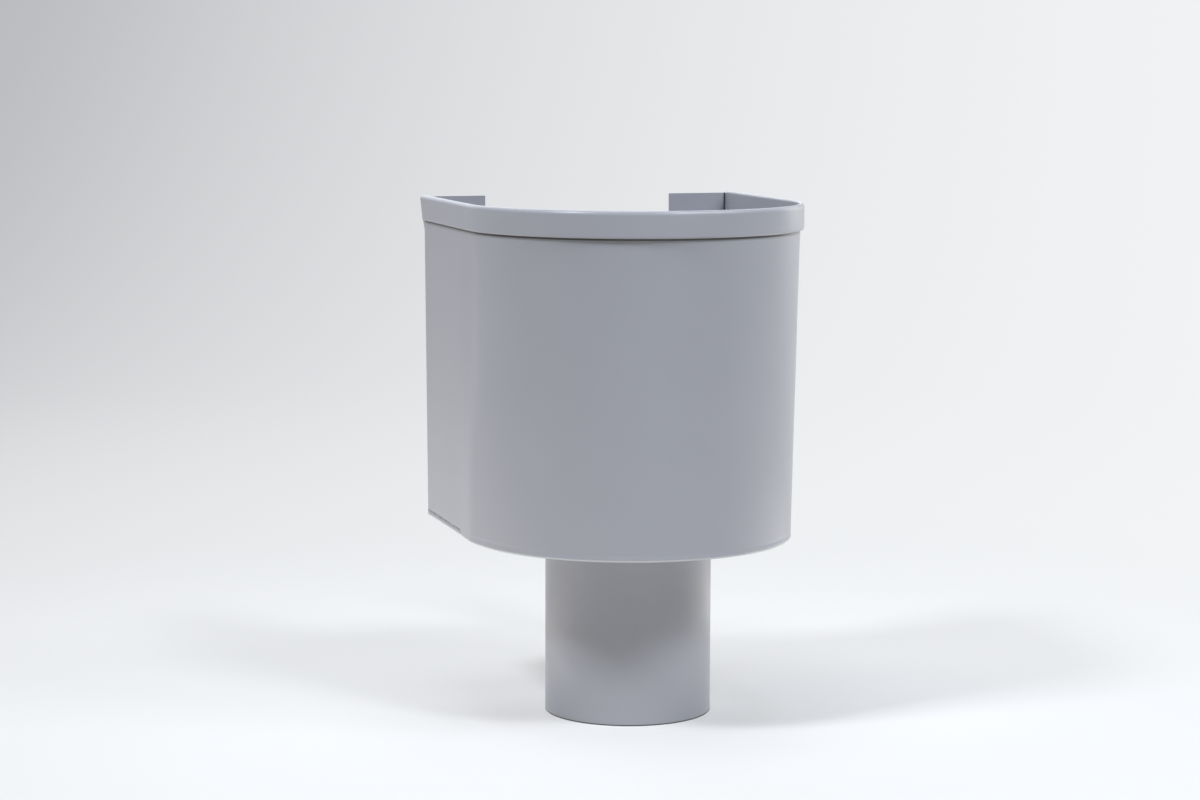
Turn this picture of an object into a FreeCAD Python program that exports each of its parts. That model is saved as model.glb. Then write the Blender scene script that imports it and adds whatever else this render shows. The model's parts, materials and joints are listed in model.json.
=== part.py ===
import FreeCAD, Part
import math
import os

from FreeCAD import Vector

# Downpipe hopper head of coated sheet steel, in millimetres.
# Origin: on the axis of the outlet spigot, at its bottom end. +Z is up,
# +Y points to the wall behind, and the half-round front faces -Y.

# Sheet and its folds
SHEET = 0.7                 # thickness of the coated sheet
FOLD_RADIUS = 0.8           # inside radius of a plain fold
SEAT = 0.1                  # room for coat and sealant where one piece sits in another

# Outlet spigot, a rolled tube for a downpipe of nominal size 100
SPIGOT_DIAMETER = 100.0
SPIGOT_DROP = 106.5         # its bottom end to the bottom edge of the body
SPIGOT_RIM = 8.0            # width of the rim that lies on the base plate
SEAM_WIDTH = 7.0            # folded seam down the back of the tube, on the inside
SEAM_FOLD_LINE = 0.4        # width and depth of the line where that seam closes

# Body: a half-round front with straight sides back to the wall
BASE_WIDTH = 196.0
MOUTH_WIDTH = 199.0
MOUTH_REACH = 6.0           # how far the mouth's half round stands forward of the base's
WALL_DISTANCE = 107.0       # spigot axis to the wall face
BODY_HEIGHT = 201.0         # bottom edge to the crest of the rim
BODY_TAB = 12.0             # rear edges folded in behind the back plate

# Hem: the rim folded outwards and down, its free edge turned in
HEM_HEIGHT = 15.6
HEM_PROUD = 2.3             # outer face of the hem off the outer face of the wall
HEM_EDGE_RADIUS = 1.2
HEM_END_LENGTH = 5.6        # rear stretch where the hem's edge is dressed down to the wall
HEM_END_DROP = 3.0          # how far down the wall that dressed corner reaches

# Bottom joint: the wall is creased above the base plate and turned in under it
BOTTOM_BAND = 6.0           # upright stretch of the wall round the joint
TURN_IN = 5.0               # width of the turned-in edge, which is folded tight
MITRE_GAP = 0.4             # each turned-in edge stops this far off the mitre line
CREASE_HEIGHT = 3.4         # middle of the crease above the bottom edge
CREASE_WIDTH = 1.8
CREASE_DEPTH = 0.5
BASE_EDGE = 1.7             # height of the base plate's rolled-down edge
BASE_CORNER_RADIUS = 2.5

# Back plate, with an opening for the pipe that comes out of the wall
BACK_SLIT = 1.3             # side edge of the plate to the inner face of the wall
OPENING_WIDTH = 121.0
OPENING_DEPTH = 100.0       # below the crest of the rim
OPENING_CORNER_RADIUS = 6.0
EAR_DROP = 1.0              # top edge of the back below the crest of the rim
FIXING_HOLE_DIAMETER = 7.0
FIXING_HOLE_SPACING = 156.0
FIXING_HOLE_DROP = 45.0     # below the crest of the rim

# Levels, faces and radii that follow from these
BEND_OUTSIDE = FOLD_RADIUS + SHEET
BOTTOM = SPIGOT_DROP
CREST = BOTTOM + BODY_HEIGHT
BAND_TOP = BOTTOM + BOTTOM_BAND
HEM_BOTTOM = CREST - HEM_HEIGHT
BACK_TOP = CREST - EAR_DROP
BASE_FOOT = BOTTOM + SHEET + SEAT
BASE_TOP = BASE_FOOT + BASE_EDGE
SIDE_END = WALL_DISTANCE - BEND_OUTSIDE
PLATE_OUTSIDE = WALL_DISTANCE - SHEET
PLATE_INSIDE = PLATE_OUTSIDE - SHEET
ROLL_RADIUS = (HEM_PROUD + SHEET) / 2.0
TUBE_RADIUS = SPIGOT_DIAMETER / 2.0
UP = Vector(0, 0, 1)


def half_width(z):
    """Half of the body's outside width at height z."""
    share = (z - BAND_TOP) / (HEM_BOTTOM - BAND_TOP)
    share = min(max(share, 0.0), 1.0)
    return (BASE_WIDTH + (MOUTH_WIDTH - BASE_WIDTH) * share) / 2.0


def line(a, b):
    return Part.LineSegment(a, b).toShape()


def arc(a, middle, b):
    return Part.Arc(a, middle, b).toShape()


def arc_about(centre, radius, start, end, place):
    """Arc about a centre in a 2-D section, between two angles in degrees."""
    points = []
    for angle in (start, (start + end) / 2.0, end):
        turn = math.radians(angle)
        points.append(place(centre[0] + radius * math.cos(turn), centre[1] + radius * math.sin(turn)))
    return arc(*points)


def mirrored(shape):
    """The same shape on the other side of the middle plane."""
    return shape.mirror(Vector(0, 0, 0), Vector(1, 0, 0))


def both_sides(shape):
    return [shape, mirrored(shape)]


def prism(wire, direction):
    return Part.Face(wire).extrude(direction)


def slab(corners, direction):
    """Flat piece of sheet with the given corners, as thick as the direction is long."""
    return prism(Part.makePolygon(list(corners) + [corners[0]]), direction)


def ruled(section, *levels):
    """Solid with straight lines between a section at two levels."""
    return Part.makeLoft([section(*level) for level in levels], True, True)


def front_section(width, reach, z):
    """Cross-section of the half-round front."""
    outer = width / 2.0
    inner = outer - SHEET

    def at(x, y):
        return Vector(x, y - reach, z)

    return Part.Wire([
        arc(at(-outer, 0), at(0, -outer), at(outer, 0)),
        line(at(outer, 0), at(inner, 0)),
        arc(at(inner, 0), at(0, -inner), at(-inner, 0)),
        line(at(-inner, 0), at(-outer, 0)),
    ])


def fold_section(width, z):
    """Cross-section of the fold at the right rear corner."""
    centre = (width / 2.0 - BEND_OUTSIDE, SIDE_END)

    def at(x, y):
        return Vector(x, y, z)

    return Part.Wire([
        arc_about(centre, BEND_OUTSIDE, 0, 90, at),
        line(at(centre[0], WALL_DISTANCE), at(centre[0], PLATE_OUTSIDE)),
        arc_about(centre, FOLD_RADIUS, 90, 0, at),
        line(at(centre[0] + FOLD_RADIUS, SIDE_END), at(centre[0] + BEND_OUTSIDE, SIDE_END)),
    ])


def right_side():
    """Straight side of the wall between the joint at the bottom and the hem."""
    low = BASE_WIDTH / 2.0
    high = MOUTH_WIDTH / 2.0
    outer = [Vector(low, 0, BAND_TOP), Vector(low, SIDE_END, BAND_TOP),
             Vector(high, SIDE_END, HEM_BOTTOM), Vector(high, -MOUTH_REACH, HEM_BOTTOM)]
    return slab(outer, Vector(-SHEET, 0, 0))


def right_corner():
    """Rear fold of the right side, and the tab that it carries behind the back plate."""
    fold = [
        prism(fold_section(BASE_WIDTH, BOTTOM), UP * BOTTOM_BAND),
        ruled(fold_section, (BASE_WIDTH, BAND_TOP), (MOUTH_WIDTH, HEM_BOTTOM)),
        prism(fold_section(MOUTH_WIDTH, HEM_BOTTOM), UP * (BACK_TOP - HEM_BOTTOM)),
    ]
    levels = (BOTTOM, BAND_TOP, HEM_BOTTOM, BACK_TOP)
    free = [Vector(half_width(z) - BODY_TAB, PLATE_OUTSIDE, z) for z in levels]
    folded = [Vector(half_width(z) - BEND_OUTSIDE, PLATE_OUTSIDE, z) for z in reversed(levels)]
    return fold + [slab(free + folded, Vector(0, SHEET, 0))]


def carried_round(section, width, reach):
    """A section, drawn off the wall's outer face, carried round the front and both sides."""
    half = width / 2.0
    wire = section(lambda s, z: Vector(half + s, -reach, z))
    face = Part.Face(wire)
    front = face.revolve(Vector(0, -reach, 0), -UP, 180)
    side = face.extrude(Vector(0, SIDE_END + reach, 0))
    return front.multiFuse(both_sides(side)).removeSplitter()


def bottom_section(at):
    """Upright wall with its crease and the edge turned in under the base plate."""
    half = CREASE_WIDTH / 2.0
    bead = CREASE_DEPTH + SHEET * math.hypot(half, CREASE_DEPTH) / half
    bead_half = (bead - SHEET) * half / CREASE_DEPTH
    z = BOTTOM + CREASE_HEIGHT
    fold = (-SHEET, BOTTOM + SHEET)
    inner = Part.makePolygon([
        at(-TURN_IN, BOTTOM), at(-TURN_IN, fold[1]), at(*fold), at(-SHEET, z - bead_half),
        at(-bead, z), at(-SHEET, z + bead_half), at(-SHEET, BAND_TOP), at(0, BAND_TOP),
    ])
    outer = Part.makePolygon([
        at(0, BAND_TOP), at(0, z + half), at(-CREASE_DEPTH, z), at(0, z - half), at(0, fold[1]),
    ])
    turn = arc_about(fold, SHEET, 0, -90, at)
    return Part.Wire(inner.Edges + outer.Edges + [turn, line(at(-SHEET, BOTTOM), at(-TURN_IN, BOTTOM))])


def hem_section(at):
    """Rim of the wall, rolled over outwards, down and in again at its free edge."""
    roll = (ROLL_RADIUS - SHEET, CREST - ROLL_RADIUS)
    edge = (HEM_PROUD - HEM_EDGE_RADIUS, HEM_BOTTOM + HEM_EDGE_RADIUS)
    inner_face = HEM_PROUD - SHEET
    edges = [
        line(at(0, HEM_BOTTOM), at(0, roll[1])),
        arc_about(roll, ROLL_RADIUS - SHEET, 180, 0, at),
        line(at(inner_face, roll[1]), at(inner_face, edge[1])),
        arc_about(edge, HEM_EDGE_RADIUS - SHEET, 0, -90, at),
        line(at(edge[0], HEM_BOTTOM + SHEET), at(edge[0], HEM_BOTTOM)),
        arc_about(edge, HEM_EDGE_RADIUS, -90, 0, at),
        line(at(HEM_PROUD, edge[1]), at(HEM_PROUD, roll[1])),
        arc_about(roll, ROLL_RADIUS, 0, 180, at),
        line(at(-SHEET, roll[1]), at(-SHEET, HEM_BOTTOM)),
        line(at(-SHEET, HEM_BOTTOM), at(0, HEM_BOTTOM)),
    ]
    return Part.Wire(edges)


def hem_end():
    """Closed rear end of the hem on the right side, dressed down onto the wall below."""
    half = MOUTH_WIDTH / 2.0
    outside = half + HEM_PROUD
    bite = SHEET / 2.0
    roll = (half - SHEET + ROLL_RADIUS, CREST - ROLL_RADIUS)
    edge = (outside - HEM_EDGE_RADIUS, HEM_BOTTOM + HEM_EDGE_RADIUS)

    def at(x, z):
        return Vector(x, SIDE_END - SHEET, z)

    cap = Part.Wire([
        line(at(half - bite, HEM_BOTTOM), at(edge[0], HEM_BOTTOM)),
        arc_about(edge, HEM_EDGE_RADIUS, -90, 0, at),
        line(at(outside, edge[1]), at(outside, roll[1])),
        arc_about(roll, ROLL_RADIUS, 0, 180, at),
        line(at(roll[0] - ROLL_RADIUS, roll[1]), at(half - bite, roll[1])),
        line(at(half - bite, roll[1]), at(half - bite, HEM_BOTTOM)),
    ])
    top = edge[1]
    foot = HEM_BOTTOM - HEM_END_DROP
    front = Vector(half - bite, WALL_DISTANCE - HEM_END_LENGTH, top)
    back = Vector(half - bite, WALL_DISTANCE, top)
    out = Vector(outside, WALL_DISTANCE, top)
    low = Vector(half_width(foot) - bite, WALL_DISTANCE, foot)
    faces = []
    for corners in ((front, back, out), (front, back, low), (back, out, low), (front, out, low)):
        faces.append(Part.Face(Part.makePolygon(list(corners) + [corners[0]])))
    dressed = Part.Solid(Part.Shell(faces))
    if dressed.Volume < 0:
        dressed.reverse()
    return [prism(cap, Vector(0, WALL_DISTANCE - SIDE_END + SHEET, 0)), dressed]


def beyond_mitre(behind):
    """What to cut at the right rear corner: behind the 45 degree line, or in front of it."""
    size = 4.0 * TURN_IN
    start = -MITRE_GAP if behind else MITRE_GAP - size
    block = Part.makeBox(2.0 * size, size, SHEET, Vector(-size, start, 0))
    block.rotate(Vector(0, 0, 0), UP, 45)
    block.translate(Vector(BASE_WIDTH / 2.0, PLATE_OUTSIDE, BOTTOM))
    corner = Vector(BASE_WIDTH / 2.0 - SHEET - size, PLATE_OUTSIDE - size, BOTTOM)
    return block.common(Part.makeBox(size, size, SHEET, corner))


def body_shell():
    """Front and sides from one sheet, with the hem, the rear tabs and the turned-in edge."""
    front = ruled(front_section, (BASE_WIDTH, 0.0, BAND_TOP), (MOUTH_WIDTH, MOUTH_REACH, HEM_BOTTOM))
    bottom = carried_round(bottom_section, BASE_WIDTH, 0.0)
    hem = carried_round(hem_section, MOUTH_WIDTH, MOUTH_REACH)
    pieces = [bottom, hem]
    for piece in [right_side()] + right_corner() + hem_end():
        pieces += both_sides(piece)
    return front.multiFuse(pieces).cut(both_sides(beyond_mitre(True)))


def opening_outline():
    """Opening in the back plate, from above the top edge down to its rounded corners."""
    half = OPENING_WIDTH / 2.0
    radius = OPENING_CORNER_RADIUS
    floor = CREST - OPENING_DEPTH
    top = CREST + SHEET

    def at(x, z):
        return Vector(x, PLATE_INSIDE - SHEET, z)

    return Part.Wire([
        line(at(-half, top), at(-half, floor + radius)),
        arc_about((-half + radius, floor + radius), radius, 180, 270, at),
        line(at(-half + radius, floor), at(half - radius, floor)),
        arc_about((half - radius, floor + radius), radius, 270, 360, at),
        line(at(half, floor + radius), at(half, top)),
        line(at(half, top), at(-half, top)),
    ])


def back_plate():
    """Flat back on the inside of the rear tabs, its bottom edge turned in like the wall's."""
    def edge_x(z):
        return half_width(z) - SHEET - BACK_SLIT

    levels = (BOTTOM + SHEET, BAND_TOP, HEM_BOTTOM, BACK_TOP)
    right = [Vector(edge_x(z), PLATE_INSIDE, z) for z in levels]
    left = [Vector(-point.x, point.y, point.z) for point in reversed(right)]
    plate = slab(right + left, Vector(0, SHEET, 0))

    start = -edge_x(BOTTOM)
    fold = (PLATE_INSIDE, BOTTOM + SHEET)
    end_y = PLATE_OUTSIDE - TURN_IN

    def at(y, z):
        return Vector(start, y, z)

    turned = Part.Wire([
        line(at(*fold), at(PLATE_OUTSIDE, fold[1])),
        arc_about(fold, SHEET, 0, -90, at),
        line(at(fold[0], BOTTOM), at(end_y, BOTTOM)),
        line(at(end_y, BOTTOM), at(end_y, fold[1])),
        line(at(end_y, fold[1]), at(*fold)),
    ])
    turned = prism(turned, Vector(-2.0 * start, 0, 0))
    turned = turned.cut(both_sides(beyond_mitre(False)))

    cuts = [prism(opening_outline(), Vector(0, 3.0 * SHEET, 0))]
    for side in (-1, 1):
        centre = Vector(side * FIXING_HOLE_SPACING / 2.0, PLATE_INSIDE - SHEET, CREST - FIXING_HOLE_DROP)
        cuts.append(Part.makeCylinder(FIXING_HOLE_DIAMETER / 2.0, 3.0 * SHEET, centre, Vector(0, 1, 0)))
    return plate.fuse(turned).removeSplitter().cut(cuts)


def base_outline(inset, z):
    """Outline of the base plate, half round in front with two rear corners."""
    half = BASE_WIDTH / 2.0 - SHEET - inset
    rear = PLATE_INSIDE - inset
    radius = BASE_CORNER_RADIUS - inset
    turn = (half - radius, rear - radius)

    def at(x, y):
        return Vector(x, y, z)

    return Part.Wire([
        line(at(-half, turn[1]), at(-half, 0)),
        arc(at(-half, 0), at(0, -half), at(half, 0)),
        line(at(half, 0), at(half, turn[1])),
        arc_about(turn, radius, 0, 90, at),
        line(at(turn[0], rear), at(-turn[0], rear)),
        arc_about((-turn[0], turn[1]), radius, 90, 180, at),
    ])


def base_block(inset, height, edge_radius):
    """Solid of the base outline with its top edge rounded."""
    block = prism(base_outline(inset, BASE_FOOT), UP * height)
    top = BASE_FOOT + height
    rim = [edge for edge in block.Edges if edge.BoundBox.ZMin > top - SEAT]
    return block.makeFillet(edge_radius, rim)


def base_plate():
    """Tray-like plate with a rolled-down edge, held between the crease and the turned-in edge."""
    plate = base_block(SEAT, BASE_EDGE, BEND_OUTSIDE)
    plate = plate.cut(base_block(SEAT + SHEET, BASE_EDGE - SHEET, FOLD_RADIUS))
    hole_radius = TUBE_RADIUS + FOLD_RADIUS + SEAT
    hole = Part.makeCylinder(hole_radius, 2.0 * BASE_EDGE, Vector(0, 0, BASE_FOOT))
    return plate.cut(hole)


def outlet_spigot():
    """Rolled tube with a rim turned out over the base plate and a folded seam inside."""
    inside = TUBE_RADIUS - SHEET
    bend = (TUBE_RADIUS + FOLD_RADIUS, BASE_TOP - FOLD_RADIUS)
    rim = TUBE_RADIUS + SPIGOT_RIM

    def at(r, z):
        return Vector(r, 0, z)

    section = Part.Wire([
        line(at(inside, 0), at(TUBE_RADIUS, 0)),
        line(at(TUBE_RADIUS, 0), at(TUBE_RADIUS, bend[1])),
        arc_about(bend, FOLD_RADIUS, 180, 90, at),
        line(at(bend[0], BASE_TOP), at(rim, BASE_TOP)),
        line(at(rim, BASE_TOP), at(rim, BASE_TOP + SHEET)),
        line(at(rim, BASE_TOP + SHEET), at(bend[0], BASE_TOP + SHEET)),
        arc_about(bend, BEND_OUTSIDE, 90, 180, at),
        line(at(inside, bend[1]), at(inside, 0)),
    ])
    tube = Part.Face(section).revolve(Vector(0, 0, 0), UP, 360)

    seam_inside = inside - 2.0 * SHEET
    ring = Part.makeCylinder(inside + SHEET / 2.0, bend[1]).cut(Part.makeCylinder(seam_inside, bend[1]))
    strip = Part.makeBox(SEAM_WIDTH, TUBE_RADIUS, bend[1], Vector(-SEAM_WIDTH / 2.0, 0, 0))
    fold_line = Part.makeBox(SEAM_FOLD_LINE, SEAM_WIDTH, bend[1])
    fold_line.translate(Vector(SEAM_WIDTH / 2.0, TUBE_RADIUS - SEAM_FOLD_LINE, 0))
    return tube.fuse(ring.common(strip)).removeSplitter().cut(fold_line)


def main():
    os.makedirs("parts", exist_ok=True)
    makers = (body_shell, back_plate, base_plate, outlet_spigot)
    for maker in makers:
        shape = maker()
        print(maker.__name__, "valid", shape.isValid(), "solids", len(shape.Solids),
              "volume", round(shape.Volume, 1))
        shape.exportStep("parts/" + maker.__name__ + ".step")


main()
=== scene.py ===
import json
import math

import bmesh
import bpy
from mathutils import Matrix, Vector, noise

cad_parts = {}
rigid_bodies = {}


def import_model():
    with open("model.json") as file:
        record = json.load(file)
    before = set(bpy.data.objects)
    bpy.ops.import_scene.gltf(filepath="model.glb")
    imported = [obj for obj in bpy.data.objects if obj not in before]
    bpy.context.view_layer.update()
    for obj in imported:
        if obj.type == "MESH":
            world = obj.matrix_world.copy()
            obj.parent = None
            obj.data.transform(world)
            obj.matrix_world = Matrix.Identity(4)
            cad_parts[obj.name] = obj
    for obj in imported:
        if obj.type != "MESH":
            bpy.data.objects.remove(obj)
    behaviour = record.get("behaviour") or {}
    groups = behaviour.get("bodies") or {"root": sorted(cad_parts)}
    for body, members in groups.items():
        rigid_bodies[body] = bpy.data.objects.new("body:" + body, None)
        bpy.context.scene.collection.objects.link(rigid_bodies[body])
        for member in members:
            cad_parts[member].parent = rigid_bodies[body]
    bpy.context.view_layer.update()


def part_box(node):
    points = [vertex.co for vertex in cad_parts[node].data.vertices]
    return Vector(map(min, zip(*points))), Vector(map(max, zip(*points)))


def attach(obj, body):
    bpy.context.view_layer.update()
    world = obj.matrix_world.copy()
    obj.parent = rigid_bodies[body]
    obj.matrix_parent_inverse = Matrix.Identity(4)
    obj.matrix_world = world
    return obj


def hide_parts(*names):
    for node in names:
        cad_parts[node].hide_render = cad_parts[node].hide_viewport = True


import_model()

# %% [markdown]
# # Downpipe hopper head, looks
# The construction is fixed: four pieces of folded sheet steel come in as the frame, at their real size.
# This lesson gives them their looks. Each piece is drawn again as one thin surface, the way a sheet-metal
# worker sees it, and a modifier then gives that surface the thickness of the sheet.
# Lengths are in millimetres while a piece is drawn, and the finished mesh is scaled to metres once.

MM = 0.001

# %% [markdown]
# ## Sizes
# Overall sizes are read from the frame, so the looks follow the construction if it changes.
# What the frame can't tell, such as the thickness of the sheet or the radius of a fold, is named here once.

# %% Sizes read from the frame
def box_mm(node):
    """Lowest and highest corner of a node of the frame, in millimetres."""
    low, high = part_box(node)
    return low / MM, high / MM


shell_low, shell_high = box_mm("body_shell")
base_low, base_high = box_mm("base_plate")
BACK_TOP = box_mm("back_plate")[1].z
SPIGOT_FOOT = box_mm("outlet_spigot")[0].z

SHEET = 0.7             # thickness of the sheet
SEAT = 0.1              # room for the coat where one piece sits in another
HEM_PROUD = 2.3         # outer face of the hem off the outer face of the wall
CREST_CLEAR = 0.02      # keeps the crest a hair inside the box
NEAR = 0.01             # places closer together than this count as one
BOTTOM = shell_low.z
CREST = shell_high.z - CREST_CLEAR
WALL_FACE = shell_high.y
BASE_HALF = base_high.x + SEAT + SHEET
MOUTH_HALF = shell_high.x - HEM_PROUD
print("half widths at the base and the mouth:", round(BASE_HALF, 2), round(MOUTH_HALF, 2))
print("bottom edge and crest:", round(BOTTOM, 2), round(CREST, 2))

# %% Sizes of the folds and of the hem
FOLD_RADIUS = 0.8       # inside of a plain fold
CORNER_RADIUS = FOLD_RADIUS + SHEET
FOLD_STEPS = 5
TURN_RADIUS = 0.9       # outside of the tight fold under the base
TURN_IN = 5.0           # width of the edge that is turned in there
MITRE_GAP = 0.4         # it stops this far off the mitre line
BAND_TOP = BOTTOM + 6.0         # the wall is upright up to here, then it leans
HEM_HEIGHT = 15.6
HEM_BOTTOM = CREST - HEM_HEIGHT
HEM_EDGE_RADIUS = 1.2   # outside of the hem's own turned-in edge
ROLL_RADIUS = (HEM_PROUD + SHEET) / 2.0
ROLL_BASE = CREST - ROLL_RADIUS
MOUTH_REACH = 6.0       # how far the mouth stands forward of the base
SIDE_END = WALL_FACE - CORNER_RADIUS
PLATE_OUTSIDE = WALL_FACE - SHEET
BODY_TAB = 12.0         # width of the tabs behind the back
TUBE_RADIUS = 50.0
print("hem from", round(HEM_BOTTOM, 2), "to", round(CREST, 2))
print("straight sides up to", round(SIDE_END, 2))

# %% [markdown]
# ## Small tools for drawing sheet metal
# A section is drawn as with a pen: a first vertex, straight runs made by extruding the last vertex,
# and bends made by spinning it. The operators keep the vertices joined by edges, so the finished line
# can be spun or extruded into a surface in one go.

# %% Pen strokes
def stroke(bm, vert, *step):
    """Extrudes the last vertex of a line along a straight run."""
    tip = bmesh.ops.extrude_vert_indiv(bm, verts=[vert])["verts"][0]
    bmesh.ops.translate(bm, vec=step, verts=[tip])
    return tip


def strokes(bm, vert, count, *step):
    """One straight run, cut into equal lengths."""
    for _ in range(count):
        vert = stroke(bm, vert, *[s / count for s in step])
    return vert


def bend(bm, vert, centre, axis, degrees, steps):
    """Spins the last vertex of a line round a centre."""
    spun = bmesh.ops.spin(
        bm, geom=[vert], cent=centre, axis=axis, dvec=(0, 0, 0),
        angle=math.radians(degrees), steps=steps, use_duplicate=False,
    )
    return next(g for g in spun["geom_last"] if isinstance(g, bmesh.types.BMVert))


def only(geometry, kind):
    """Of what an operator gives back, the vertices, the edges or the faces."""
    return [g for g in geometry if isinstance(g, kind)]


trial = bmesh.new()
corner = strokes(trial, trial.verts.new((0, 0, 0)), 2, 10, 0, 0)
bend(trial, corner, (corner.co.x, 0, 2), (0, 1, 0), -90, 4)
print("a trial line of two strokes and a bend has", len(trial.edges), "edges")

# %% Carrying edges along
def carry(bm, edges, *step):
    """Extrudes edges along a straight step and gives the edges at its end."""
    made = bmesh.ops.extrude_edge_only(bm, edges=edges)["geom"]
    bmesh.ops.translate(bm, vec=step, verts=only(made, bmesh.types.BMVert))
    return only(made, bmesh.types.BMEdge)


def carry_far(bm, edges, count, *step):
    """The same in equal steps, so that the surface has rows to bend later."""
    for _ in range(count):
        edges = end_edges(carry(bm, edges, *[s / count for s in step]), edges)
    return edges


def end_edges(made, start):
    """Of the edges that an extrusion made, those that copy the edges it started from."""
    old = {v for e in start for v in e.verts}
    return [e for e in made if e.is_boundary and not any(v in old for v in e.verts)]


def turn_edges(bm, edges, centre, axis, degrees, steps):
    """Spins edges round an axis and gives the edges at the end of the turn."""
    spun = bmesh.ops.spin(
        bm, geom=edges, cent=centre, axis=axis, dvec=(0, 0, 0),
        angle=math.radians(degrees), steps=steps, use_duplicate=False,
    )
    return only(spun["geom_last"], bmesh.types.BMEdge)


carry_far(trial, list(trial.edges), 3, 0, 5, 0)
print("carried on in three steps, it is a surface of", len(trial.faces), "faces")
trial.free()

# %% [markdown]
# ## From a drawn surface to a sheet
# Solidify gives the surface its thickness, and a very small bevel softens the cut edges, because a coat of
# paint never leaves a sharp one. Weighted Normal keeps the large faces flat in the shading beside small
# bends. The modifiers are applied, so that the mesh can be measured and its sharp edges marked.

# %% Making a finished piece
CUT_EDGE_BEVEL = 0.12
CUT_EDGE_FROM = 70.0    # an edge that turns by more degrees than this is a cut one
SHARP_FROM = 50.0       # one that turns by more than this is shaded sharp


def apply_modifiers(piece):
    """Puts the mesh that the modifiers make in the place of the drawn one."""
    view = bpy.context.evaluated_depsgraph_get()
    baked = bpy.data.meshes.new_from_object(piece.evaluated_get(view))
    piece.modifiers.clear()
    old = piece.data
    piece.data = baked
    bpy.data.meshes.remove(old)


def sheet_piece(bm, name):
    """Gives a drawn surface the thickness of the sheet, behind its faces, and returns the piece."""
    bmesh.ops.scale(bm, vec=(MM, MM, MM), verts=bm.verts)
    mesh = bpy.data.meshes.new(name)
    bm.to_mesh(mesh)
    bm.free()
    piece = bpy.data.objects.new(name, mesh)
    bpy.context.scene.collection.objects.link(piece)
    thick = piece.modifiers.new("sheet", "SOLIDIFY")
    thick.thickness = SHEET * MM
    thick.offset = -1.0
    thick.use_even_offset = True
    soften = piece.modifiers.new("cut_edges", "BEVEL")
    soften.width = CUT_EDGE_BEVEL * MM
    soften.segments = 2
    soften.limit_method = "ANGLE"
    soften.angle_limit = math.radians(CUT_EDGE_FROM)
    apply_modifiers(piece)
    piece.data.shade_smooth()
    piece.data.set_sharp_from_angle(angle=math.radians(SHARP_FROM))
    even = piece.modifiers.new("even_shading", "WEIGHTED_NORMAL")
    even.keep_sharp = True
    apply_modifiers(piece)
    print(name, "has", len(piece.data.polygons), "faces")
    return piece


print("sheet", SHEET, "mm thick, cut edges softened by", CUT_EDGE_BEVEL, "mm")

# %% [markdown]
# ## The body
# The front and both sides are one blank. Its section is drawn once on the right side, at the place where
# the straight side meets the half round: turned-in edge, wall, rolled rim, hem and the hem's own turned-in
# edge. The line follows the face of the sheet that is outside on the wall, and so is hidden inside the hem.

# %% Section of the body
CREASE_HEIGHT = 3.4     # middle of the crease above the bottom edge
CREASE_WIDTH = 3.0
CREASE_ROWS, WALL_ROWS, BEHIND_HEM_ROWS, HEM_ROWS = 6, 26, 4, 8
ROLL_STEPS = 16
SHOULDER_STRETCH = 2.6  # the outer shoulder of the roll falls this much deeper than a circle
CROWN_IN = 0.35         # the crown of the roll off the outer face of the wall


def body_section(bm):
    """Draws the section on the right side and returns its edges."""
    side = (0, 1, 0)
    tip = bm.verts.new((BASE_HALF - TURN_IN, 0, BOTTOM))
    tip = strokes(bm, tip, 2, TURN_IN - TURN_RADIUS, 0, 0)
    tip = bend(bm, tip, (tip.co.x, 0, BOTTOM + TURN_RADIUS), side, -90, FOLD_STEPS)
    crease = BOTTOM + CREASE_HEIGHT
    tip = stroke(bm, tip, 0, 0, crease - CREASE_WIDTH / 2 - tip.co.z)
    tip = strokes(bm, tip, CREASE_ROWS, 0, 0, CREASE_WIDTH)
    tip = stroke(bm, tip, 0, 0, BAND_TOP - tip.co.z)
    tip = strokes(bm, tip, WALL_ROWS, 0, 0, HEM_BOTTOM - BAND_TOP)
    tip = strokes(bm, tip, BEHIND_HEM_ROWS, 0, 0, ROLL_BASE - HEM_BOTTOM)
    inner_roll = ROLL_RADIUS - SHEET
    wall_x, spring = tip.co.x, tip.co.z
    crown = Vector((wall_x + inner_roll, 0, spring + inner_roll))
    tip = bend(bm, tip, (crown.x, 0, spring), side, 180, ROLL_STEPS)
    outer_x = tip.co.x
    for v in bm.verts:
        if v.co.x > crown.x + NEAR and v.co.z > spring - NEAR:
            v.co.z = crown.z - SHOULDER_STRETCH * (crown.z - v.co.z)
            v.co.x = outer_x - (outer_x - v.co.x) * (2 * inner_roll - CROWN_IN) / inner_roll
        elif v.co.z > spring + NEAR:
            v.co.x = wall_x + (v.co.x - wall_x) * CROWN_IN / inner_roll
    tip = strokes(bm, tip, HEM_ROWS, 0, 0, HEM_BOTTOM + HEM_EDGE_RADIUS - tip.co.z)
    inner_edge = HEM_EDGE_RADIUS - SHEET
    bend(bm, tip, (tip.co.x - inner_edge, 0, tip.co.z), side, 90, FOLD_STEPS)
    return list(bm.edges)


shell = bmesh.new()
right_line = body_section(shell)
print("section of the body:", len(right_line), "edges")

# %% [markdown]
# The section is spun half round for the front, and both ends of that are carried straight back to the wall.
# The last stretch has its own, closer rows, because the hem's end is pulled out of shape there.

# %% Half-round front and straight sides
FRONT_STEPS = 80
SIDE_STEPS = 40
HEM_END_LENGTH = 5.6
END_STEPS = 8
DRESS_START = WALL_FACE - HEM_END_LENGTH

left_line = turn_edges(shell, right_line, (0, 0, 0), (0, 0, 1), -180, FRONT_STEPS)
ends = {}
for side, line in ((1, right_line), (-1, left_line)):
    line = carry_far(shell, line, SIDE_STEPS, 0, DRESS_START, 0)
    ends[side] = carry_far(shell, line, END_STEPS, 0, SIDE_END - DRESS_START, 0)
print("body surface:", len(shell.faces), "faces,", len(ends[1]), "edges at the rear end")

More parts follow.
